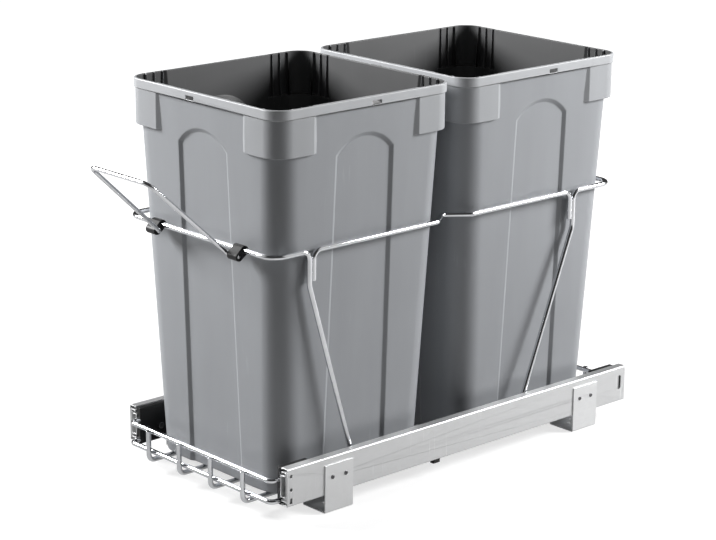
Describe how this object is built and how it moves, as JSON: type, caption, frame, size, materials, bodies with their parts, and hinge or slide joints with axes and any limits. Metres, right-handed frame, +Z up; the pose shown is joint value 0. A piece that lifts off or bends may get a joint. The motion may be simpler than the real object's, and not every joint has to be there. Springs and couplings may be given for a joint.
{
  "type": "pull out trash cabinet",
  "caption": "Pull-out waste unit for a base cabinet: two tapered square bins in a bent-wire carriage on ball-bearing slides, with a folding wire handle",
  "frame": {"origin": "on the cabinet floor under the unit, midway between the four floor screw holes of the foot brackets", "axes": "+Z up; -Y is the front, the way the carriage pulls out, with the handle; +X is the right-hand side seen from the front"},
  "size_m": [0.294, 0.6765, 0.465],
  "materials": {
    "zinc_steel": "zinc-plated sheet steel",
    "bracket_steel": "zinc-plated sheet steel",
    "rivet_steel": "plain steel",
    "cage_steel": "thin strip steel",
    "ball_steel": "polished",
    "black_rubber": "matte",
    "black_plastic": "fine grain",
    "chrome_wire": "bright plating",
    "bin_plastic": "fine grain, slightly silky"
  },
  "bodies": {
    "rails": {"outer_member_right": "zinc_steel", "outer_member_left": "zinc_steel", "foot_bracket_front_right": "bracket_steel", "foot_bracket_front_left": "bracket_steel", "foot_bracket_rear_right": "bracket_steel", "foot_bracket_rear_left": "bracket_steel", "bracket_rivets": "rivet_steel", "rear_bumper_right": "black_rubber", "rear_bumper_left": "black_rubber", "rail_pad_right": "black_rubber", "rail_pad_left": "black_rubber"},
    "drawer": {"drawer_member_right": "zinc_steel", "drawer_member_left": "zinc_steel", "tray_clamp_front_right": "black_plastic", "tray_clamp_front_left": "black_plastic", "tray_clamp_rear_right": "black_plastic", "tray_clamp_rear_left": "black_plastic", "clamp_screws": "rivet_steel", "lever_pin_right": "rivet_steel", "lever_pin_left": "rivet_steel", "front_frame_wire": "chrome_wire", "rear_frame_wire": "chrome_wire", "side_wire_right": "chrome_wire", "side_wire_left": "chrome_wire", "tray_upper_rim": "chrome_wire", "tray_lower_rim": "chrome_wire", "tray_floor_wires": "chrome_wire", "bin_divider_wire": "chrome_wire", "handle_clip_right": "black_plastic", "handle_clip_left": "black_plastic"},
    "middle_slide_right": {"middle_member_right": "zinc_steel"},
    "outer_cage_right": {"outer_ball_cage_right": "cage_steel", "outer_balls_right": "ball_steel"},
    "inner_cage_right": {"inner_ball_cage_right": "cage_steel", "inner_balls_right": "ball_steel"},
    "release_right": {"release_lever_right": "black_plastic"},
    "middle_slide_left": {"middle_member_left": "zinc_steel"},
    "outer_cage_left": {"outer_ball_cage_left": "cage_steel", "outer_balls_left": "ball_steel"},
    "inner_cage_left": {"inner_ball_cage_left": "cage_steel", "inner_balls_left": "ball_steel"},
    "release_left": {"release_lever_left": "black_plastic"},
    "handle": {"pull_handle": "chrome_wire"},
    "bin_in_front": {"front_bin": "bin_plastic"},
    "bin_at_rear": {"rear_bin": "bin_plastic"}
  },
  "joints": [
    {"name": "drawer_pull", "type": "slide", "parent": "rails", "child": "drawer", "axis": [0, -1, 0], "range_m": [0, 0.54]},
    {"name": "middle_slide_run_right", "type": "slide", "parent": "rails", "child": "middle_slide_right", "axis": [0, -1, 0], "range_m": [0, 0.27]},
    {"name": "outer_cage_roll_right", "type": "slide", "parent": "rails", "child": "outer_cage_right", "axis": [0, -1, 0], "range_m": [0, 0.135]},
    {"name": "inner_cage_roll_right", "type": "slide", "parent": "rails", "child": "inner_cage_right", "axis": [0, -1, 0], "range_m": [0, 0.405]},
    {"name": "middle_slide_run_left", "type": "slide", "parent": "rails", "child": "middle_slide_left", "axis": [0, -1, 0], "range_m": [0, 0.27]},
    {"name": "outer_cage_roll_left", "type": "slide", "parent": "rails", "child": "outer_cage_left", "axis": [0, -1, 0], "range_m": [0, 0.135]},
    {"name": "inner_cage_roll_left", "type": "slide", "parent": "rails", "child": "inner_cage_left", "axis": [0, -1, 0], "range_m": [0, 0.405]},
    {"name": "release_lever_lift_right", "type": "hinge", "parent": "drawer", "child": "release_right", "pos_m": [0.1344, -0.06, 0.0435], "axis": [-1, 0, 0], "range_deg": [0, 8]},
    {"name": "release_lever_lift_left", "type": "hinge", "parent": "drawer", "child": "release_left", "pos_m": [-0.1344, -0.06, 0.0435], "axis": [-1, 0, 0], "range_deg": [0, 8]},
    {"name": "handle_fold", "type": "hinge", "parent": "drawer", "child": "handle", "pos_m": [0, -0.2942, 0.298], "axis": [-1, 0, 0], "range_deg": [0, 47]},
    {"name": "front_bin_lift", "type": "slide", "parent": "drawer", "child": "bin_in_front", "axis": [0, 0, 1], "range_m": [0, 0.3]},
    {"name": "rear_bin_lift", "type": "slide", "parent": "drawer", "child": "bin_at_rear", "axis": [0, 0, 1], "range_m": [0, 0.3]}
  ],
  "couplings": [
    {"joint": "middle_slide_run_right", "follows": "drawer_pull", "ratio": 0.5},
    {"joint": "outer_cage_roll_right", "follows": "drawer_pull", "ratio": 0.25},
    {"joint": "inner_cage_roll_right", "follows": "drawer_pull", "ratio": 0.75},
    {"joint": "middle_slide_run_left", "follows": "drawer_pull", "ratio": 0.5},
    {"joint": "outer_cage_roll_left", "follows": "drawer_pull", "ratio": 0.25},
    {"joint": "inner_cage_roll_left", "follows": "drawer_pull", "ratio": 0.75}
  ]
}
